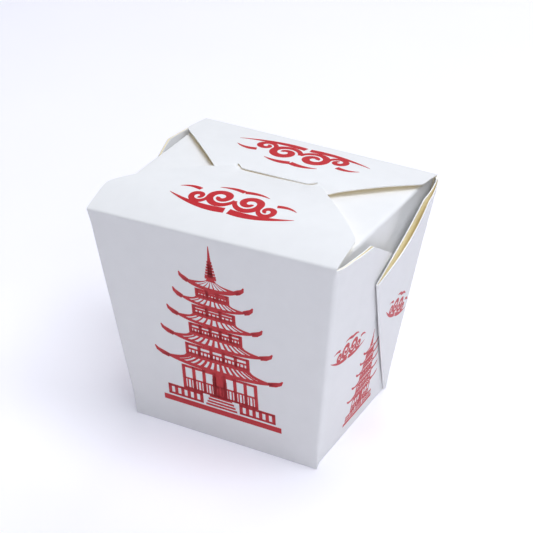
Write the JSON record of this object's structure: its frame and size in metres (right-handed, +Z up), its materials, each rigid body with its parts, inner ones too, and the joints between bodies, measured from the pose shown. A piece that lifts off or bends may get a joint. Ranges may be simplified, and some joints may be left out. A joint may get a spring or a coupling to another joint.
{
  "type": "noodle takeaway box",
  "caption": "Shut paperboard food pail with tapered walls, folded corner webs, and a front flap whose tongue tucks into a slit in the rear flap.",
  "frame": {"origin": "middle of the flat bottom", "axes": "+X to the right and +Y to the rear as seen by someone facing the printed front wall, +Z up"},
  "size_m": [0.118, 0.093, 0.1052],
  "materials": {
    "coated_paperboard": "white clay-coated paperboard with a soft satin face",
    "bare_board": "cream uncoated inside and cut edges of the paperboard",
    "red_ink": "flat red printing ink on coated board"
  },
  "bodies": {
    "root": {"takeaway_box": "coated_paperboard"}
  },
  "joints": []
}
